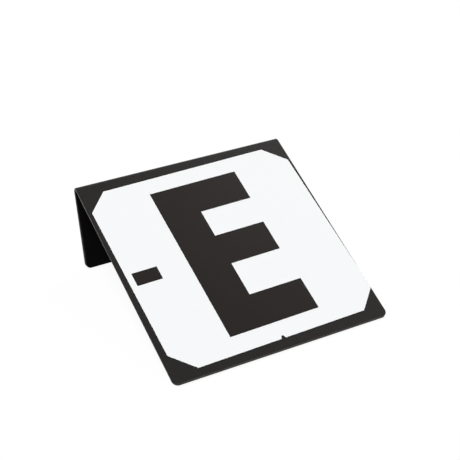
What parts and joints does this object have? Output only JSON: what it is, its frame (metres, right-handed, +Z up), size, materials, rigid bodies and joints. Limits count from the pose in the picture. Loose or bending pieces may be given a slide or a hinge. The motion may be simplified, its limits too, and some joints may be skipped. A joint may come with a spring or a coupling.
{
  "type": "hook-over letter marker",
  "caption": "Black plastic sheet folded along its top into a sloping face and a hook-over flange, with a white adhesive face for a block letter. Hangs on a stable door or stands.",
  "frame": {"origin": "on the ground, in the middle of the bounding box", "axes": "+X across to the reader's right, -Y towards the reader, +Z up; the marker stands on the front edge of its panel and on the lower edge of its flange"},
  "size_m": [0.18, 0.1761, 0.0675],
  "materials": {
    "black_sheet": "satin",
    "white_face": "satin film"
  },
  "bodies": {
    "root": {"folded_sheet": "black_sheet", "face_decal": "white_face"}
  },
  "joints": []
}
